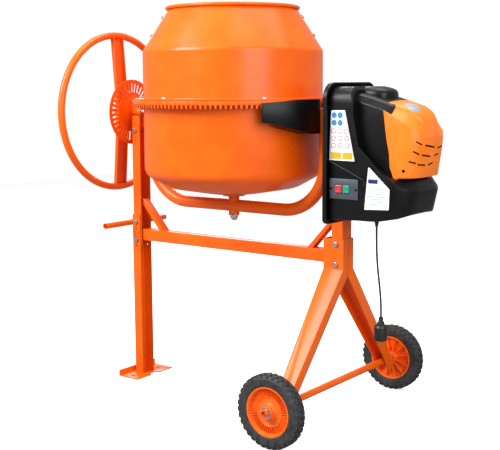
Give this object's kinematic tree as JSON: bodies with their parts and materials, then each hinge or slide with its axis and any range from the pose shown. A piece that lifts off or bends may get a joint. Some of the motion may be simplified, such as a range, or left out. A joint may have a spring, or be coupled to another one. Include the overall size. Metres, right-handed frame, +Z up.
{
  "type": "concrete mixer",
  "caption": "Wheeled concrete mixer with a tilting drum in a yoke, ring-gear drive, large hand wheel with a slotted lock disc, motor housing and two-button switch.",
  "frame": {"origin": "on the floor, under the middle of the mixer's overall box (lead left out)", "axes": "+X from the hand wheel to the motor housing, +Y to the rear wheel, +Z up"},
  "size_m": [1.3865, 0.86, 1.4105],
  "materials": {
    "orange_powder_coat": "glossy orange powder coat",
    "orange_cast_iron": "orange paint over a sand-cast surface",
    "zinc_plated_steel": "bright zinc plate",
    "bare_steel": "turned bare steel",
    "black_plastic": "moulded, fine grain",
    "orange_plastic": "moulded, smooth",
    "wheel_plastic": "moulded, satin",
    "tyre_rubber": "moulded rubber with tread",
    "black_rubber": "smooth jacket",
    "plug_brass": "nickel-bright brass",
    "bush_bronze": "sintered bronze",
    "pulley_aluminium": "turned aluminium",
    "motor_paint": "grey enamel",
    "red_plastic": "moulded",
    "green_plastic": "moulded"
  },
  "bodies": {
    "frame": {"foot_plate": "orange_powder_coat", "support_leg": "orange_powder_coat", "left_post": "orange_powder_coat", "crossbar": "orange_powder_coat", "left_brace": "orange_powder_coat", "right_brace": "orange_powder_coat", "right_post": "orange_powder_coat", "front_wheel_leg": "orange_powder_coat", "rear_wheel_leg": "orange_powder_coat", "axle_tube": "orange_powder_coat", "transport_handle": "orange_powder_coat", "left_bearing_sleeve": "orange_powder_coat", "right_bearing_sleeve": "orange_powder_coat", "tilt_lock_disc": "orange_powder_coat", "frame_bolts": "zinc_plated_steel", "axle_washers": "zinc_plated_steel", "axle_pins": "zinc_plated_steel", "housing_back_plate": "black_plastic", "motor_housing": "black_plastic", "motor_cap": "orange_plastic", "housing_screws": "zinc_plated_steel", "switch_housing": "black_plastic", "cable_gland": "black_plastic", "power_cord": "black_rubber", "plug_body": "black_rubber", "plug_pins": "plug_brass", "motor_casing": "motor_paint", "drive_belt": "black_rubber"},
    "yoke": {"yoke_tube": "orange_powder_coat", "left_trunnion": "bare_steel", "right_trunnion": "bare_steel", "spindle_bushes": "bush_bronze", "pinion_bushes": "bush_bronze", "pinion_guard": "black_plastic"},
    "drum": {"lower_drum": "orange_powder_coat", "upper_drum": "orange_powder_coat", "ring_gear_segment_1": "orange_cast_iron", "ring_gear_segment_2": "orange_cast_iron", "ring_gear_segment_3": "orange_cast_iron", "ring_gear_segment_4": "orange_cast_iron", "drum_bolts": "zinc_plated_steel", "mixing_paddle_1": "orange_powder_coat", "mixing_paddle_2": "orange_powder_coat", "hub_flange": "orange_powder_coat", "drum_spindle": "bare_steel", "spindle_nut": "zinc_plated_steel"},
    "pinion": {"drive_pinion": "bare_steel", "pinion_shaft": "bare_steel", "large_pulley": "pulley_aluminium"},
    "motor_rotor": {"motor_rotor": "bare_steel", "motor_pulley": "pulley_aluminium"},
    "handwheel": {"handwheel_rim": "orange_powder_coat", "handwheel_spokes": "orange_powder_coat", "handwheel_hub": "orange_powder_coat"},
    "front_wheel": {"front_wheel_rim": "wheel_plastic", "front_tyre": "tyre_rubber"},
    "rear_wheel": {"rear_wheel_rim": "wheel_plastic", "rear_tyre": "tyre_rubber"},
    "stop_button": {"stop_button": "red_plastic"},
    "start_button": {"start_button": "green_plastic"}
  },
  "joints": [
    {"name": "drum_tilt", "type": "hinge", "parent": "frame", "child": "yoke", "pos_m": [-0.10275, 0, 1.034], "axis": [1, 0, 0], "range_deg": [-130, 130]},
    {"name": "drum_spin", "type": "hinge", "parent": "yoke", "child": "drum", "pos_m": [-0.10275, 0, 0.9], "axis": [0, 0, 1], "continuous": true},
    {"name": "pinion_spin", "type": "hinge", "parent": "yoke", "child": "pinion", "pos_m": [0.24325, 0, 1.034], "axis": [1, 0, 0], "continuous": true},
    {"name": "motor_spin", "type": "hinge", "parent": "frame", "child": "motor_rotor", "pos_m": [0.53725, 0, 0.895], "axis": [1, 0, 0], "continuous": true},
    {"name": "handwheel_lock", "type": "slide", "parent": "yoke", "child": "handwheel", "axis": [1, 0, 0], "range_m": [0, 0.012]},
    {"name": "front_wheel_spin", "type": "hinge", "parent": "frame", "child": "front_wheel", "pos_m": [0.34225, -0.391, 0.1215], "axis": [0, 1, 0], "continuous": true},
    {"name": "rear_wheel_spin", "type": "hinge", "parent": "frame", "child": "rear_wheel", "pos_m": [0.34225, 0.391, 0.1215], "axis": [0, 1, 0], "continuous": true},
    {"name": "stop_button_press", "type": "slide", "parent": "frame", "child": "stop_button", "axis": [0, 1, 0], "range_m": [0, 0.003], "stiffness_N_per_m": 400},
    {"name": "start_button_press", "type": "slide", "parent": "frame", "child": "start_button", "axis": [0, 1, 0], "range_m": [0, 0.003], "stiffness_N_per_m": 400}
  ],
  "couplings": [
    {"joint": "pinion_spin", "follows": "drum_spin", "ratio": -11},
    {"joint": "motor_spin", "follows": "drum_spin", "ratio": -99}
  ]
}
